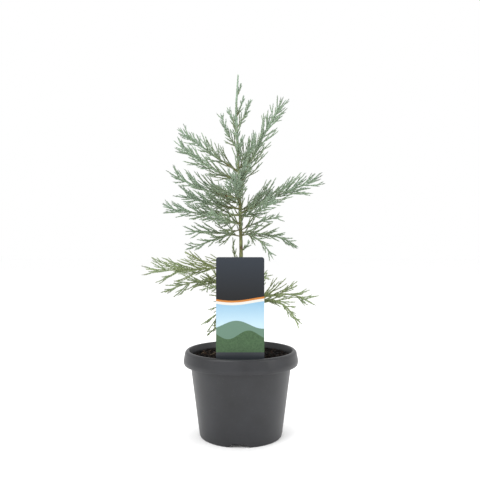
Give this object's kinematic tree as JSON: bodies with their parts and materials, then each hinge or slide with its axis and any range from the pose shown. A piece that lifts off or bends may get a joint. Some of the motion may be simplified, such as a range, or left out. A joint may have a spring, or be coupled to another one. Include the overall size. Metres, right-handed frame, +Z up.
{
  "type": "potted glaucum giant sequoia",
  "caption": "Young glaucous giant sequoia in a dark round nursery pot filled with bark and peat, with a plant label standing in the soil.",
  "frame": {"origin": "centre of the flat underside of the pot, on the ground, on the pot's axis", "axes": "+Z up along the pot's axis towards the plant's tip, -Y towards the side that carries the label, +X to the right of it"},
  "size_m": [0.2594, 0.1959, 0.534],
  "materials": {
    "pot": "satin anthracite injection-moulded plastic",
    "soil": "rough moist bark and peat",
    "label": "printed plastic card",
    "bark": "thin rough young bark, olive to brown",
    "upper_foliage": "grey-green scale leaves with a waxy bloom",
    "lower_foliage": "greener and yellow-green scale leaves"
  },
  "bodies": {
    "root": {"bough_back_high": "bark", "bough_back_mid": "bark", "bough_back_right_mid": "bark", "bough_front_mid": "bark", "bough_left_high_back": "bark", "bough_left_high_front": "bark", "bough_left_mid": "bark", "bough_left_mid_back": "bark", "bough_left_mid_front": "bark", "bough_left_skirt": "bark", "bough_left_skirt_front": "bark", "bough_right_high": "bark", "bough_right_mid": "bark", "bough_right_skirt": "bark", "label": "label", "mass_back_hanging": "lower_foliage", "mass_back_high": "upper_foliage", "mass_back_left_mid": "upper_foliage", "mass_back_left_skirt": "lower_foliage", "mass_back_mid": "upper_foliage", "mass_back_right_mid": "upper_foliage", "mass_back_right_skirt": "lower_foliage", "mass_back_skirt": "lower_foliage", "mass_crown_back": "upper_foliage", "mass_crown_front": "upper_foliage", "mass_crown_front_low": "upper_foliage", "mass_crown_left": "upper_foliage", "mass_crown_left_low": "upper_foliage", "mass_crown_right": "upper_foliage", "mass_front_high": "upper_foliage", "mass_front_left_mid": "upper_foliage", "mass_front_mid": "upper_foliage", "mass_front_right_mid": "upper_foliage", "mass_front_skirt": "lower_foliage", "mass_leader_sprig": "upper_foliage", "mass_left_hanging": "lower_foliage", "mass_left_hanging_low": "lower_foliage", "mass_left_high_back": "upper_foliage", "mass_left_high_front": "upper_foliage", "mass_left_low": "upper_foliage", "mass_left_low_front": "upper_foliage", "mass_left_mid": "upper_foliage", "mass_left_mid_back": "upper_foliage", "mass_left_mid_front": "upper_foliage", "mass_left_shoot": "lower_foliage", "mass_left_skirt": "lower_foliage", "mass_left_skirt_front": "lower_foliage", "mass_right_high": "upper_foliage", "mass_right_high_inner": "upper_foliage", "mass_right_low": "upper_foliage", "mass_right_low_back": "upper_foliage", "mass_right_low_front": "upper_foliage", "mass_right_mid": "upper_foliage", "mass_right_shoot": "upper_foliage", "mass_right_skirt": "lower_foliage", "mass_right_skirt_front": "lower_foliage", "pot": "pot", "soil": "soil", "trunk": "bark"}
  },
  "joints": []
}
